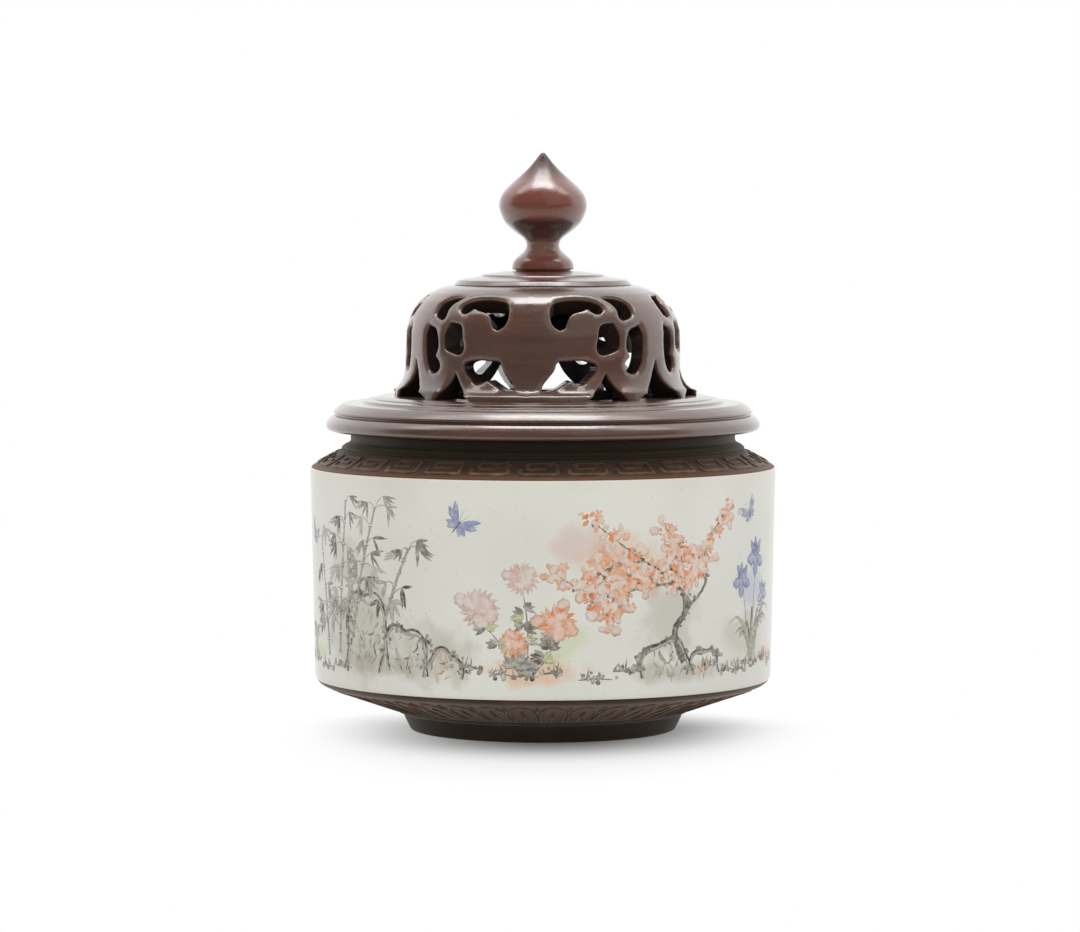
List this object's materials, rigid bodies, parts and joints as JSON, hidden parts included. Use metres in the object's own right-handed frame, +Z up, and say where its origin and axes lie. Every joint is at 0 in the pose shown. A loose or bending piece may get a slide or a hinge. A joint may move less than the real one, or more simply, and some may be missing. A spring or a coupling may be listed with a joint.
{
  "type": "porcelain incense burner",
  "caption": "Covered drum-shaped porcelain incense burner with a stepped brown shoulder, low foot ring and a turned, pierced wooden cover with an onion finial.",
  "frame": {"origin": "centre of the foot ring's resting plane", "axes": "+Z up along the turning axis; -Y is the front, the middle of a pierced motif"},
  "size_m": [0.1098, 0.1098, 0.1362],
  "materials": {
    "glazed_porcelain": "white glossy glaze with overglaze enamel decoration; matt dark brown relief bands on shoulder and lower cone",
    "ash": "fine pale grey sifted ash, dry and matt",
    "incense": "pressed wood powder, matt brown",
    "cover_wood": "dark reddish brown turned hardwood, polished"
  },
  "bodies": {
    "vessel": {"porcelain_body": "glazed_porcelain", "ash_bed": "ash"},
    "cover": {"cover_flange": "cover_wood", "pierced_dome": "cover_wood", "dome_cap": "cover_wood", "finial": "cover_wood"},
    "incense": {"incense_cone": "incense"}
  },
  "joints": [
    {"name": "cover_lift", "type": "slide", "parent": "vessel", "child": "cover", "axis": [0, 0, 1], "range_m": [0, 0.06]},
    {"name": "cone_lift", "type": "slide", "parent": "vessel", "child": "incense", "axis": [0, 0, 1], "range_m": [0, 0.04]}
  ]
}
